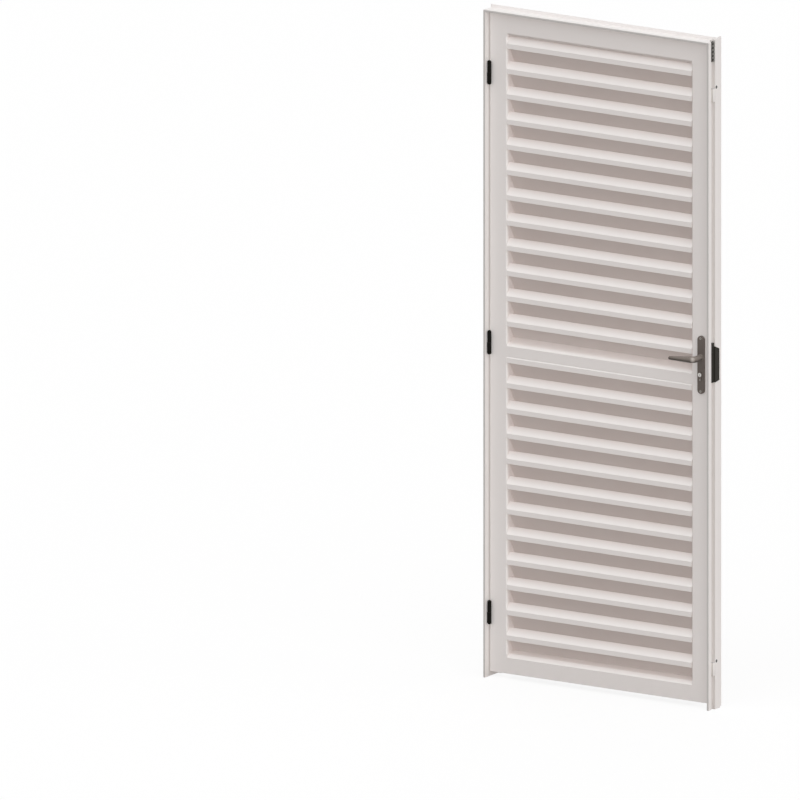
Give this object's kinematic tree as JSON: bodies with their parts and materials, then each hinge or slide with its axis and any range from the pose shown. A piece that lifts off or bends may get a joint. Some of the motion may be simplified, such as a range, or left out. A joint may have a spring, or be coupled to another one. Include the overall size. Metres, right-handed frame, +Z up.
{
  "type": "louvred door",
  "caption": "Side-hung aluminium door of fixed folded louvres in two panels, in a three-sided frame, with barrel hinges and a lever handle on long plates.",
  "frame": {"origin": "on the hinge jamb's wall face, at the floor and midway across that face", "axes": "+X across the doorway from the hinges to the lock, +Y away from the side that the door opens to, +Z up"},
  "size_m": [0.824, 0.166, 2.1],
  "materials": {
    "white_aluminium": "white satin powder coat",
    "hinge_black": "black coated steel",
    "handle_metal": "dark satin anodised",
    "lock_steel": "satin nickel",
    "strike_black": "matt black plastic",
    "cleat_black": "matt black plastic"
  },
  "bodies": {
    "frame": {"hinge_jamb": "white_aluminium", "lock_jamb": "white_aluminium", "head": "white_aluminium", "hinge_stop": "white_aluminium", "lock_stop": "white_aluminium", "head_stop": "white_aluminium", "hinge_cleat": "cleat_black", "lock_cleat": "cleat_black", "strike_box": "strike_black", "top_hinge_frame_half": "hinge_black", "middle_hinge_frame_half": "hinge_black", "bottom_hinge_frame_half": "hinge_black"},
    "leaf": {"back_plate": "handle_metal", "bottom_hinge_leaf_half": "hinge_black", "bottom_rail": "white_aluminium", "front_plate": "handle_metal", "hinge_stile": "white_aluminium", "lock_cylinder": "lock_steel", "lock_faceplate": "lock_steel", "lock_stile": "white_aluminium", "lower_louvre_01": "white_aluminium", "lower_louvre_02": "white_aluminium", "lower_louvre_03": "white_aluminium", "lower_louvre_04": "white_aluminium", "lower_louvre_05": "white_aluminium", "lower_louvre_06": "white_aluminium", "lower_louvre_07": "white_aluminium", "lower_louvre_08": "white_aluminium", "lower_louvre_09": "white_aluminium", "lower_louvre_10": "white_aluminium", "lower_louvre_11": "white_aluminium", "lower_louvre_12": "white_aluminium", "mid_rail": "white_aluminium", "middle_hinge_leaf_half": "hinge_black", "top_hinge_leaf_half": "hinge_black", "top_rail": "white_aluminium", "upper_louvre_01": "white_aluminium", "upper_louvre_02": "white_aluminium", "upper_louvre_03": "white_aluminium", "upper_louvre_04": "white_aluminium", "upper_louvre_05": "white_aluminium", "upper_louvre_06": "white_aluminium", "upper_louvre_07": "white_aluminium", "upper_louvre_08": "white_aluminium", "upper_louvre_09": "white_aluminium", "upper_louvre_10": "white_aluminium", "upper_louvre_11": "white_aluminium", "upper_louvre_12": "white_aluminium"},
    "lever": {"front_lever": "handle_metal", "back_lever": "handle_metal", "spindle": "lock_steel"}
  },
  "joints": [
    {"name": "door_swing", "type": "hinge", "parent": "frame", "child": "leaf", "pos_m": [0.019, -0.028, 1.0495], "axis": [0, 0, -1], "range_deg": [0, 100]},
    {"name": "lever_turn", "type": "hinge", "parent": "leaf", "child": "lever", "pos_m": [0.7805, 0.004, 1.101], "axis": [0, -1, 0], "range_deg": [0, 40], "stiffness_Nm_per_rad": 1.5, "springref_deg": -20.05}
  ]
}
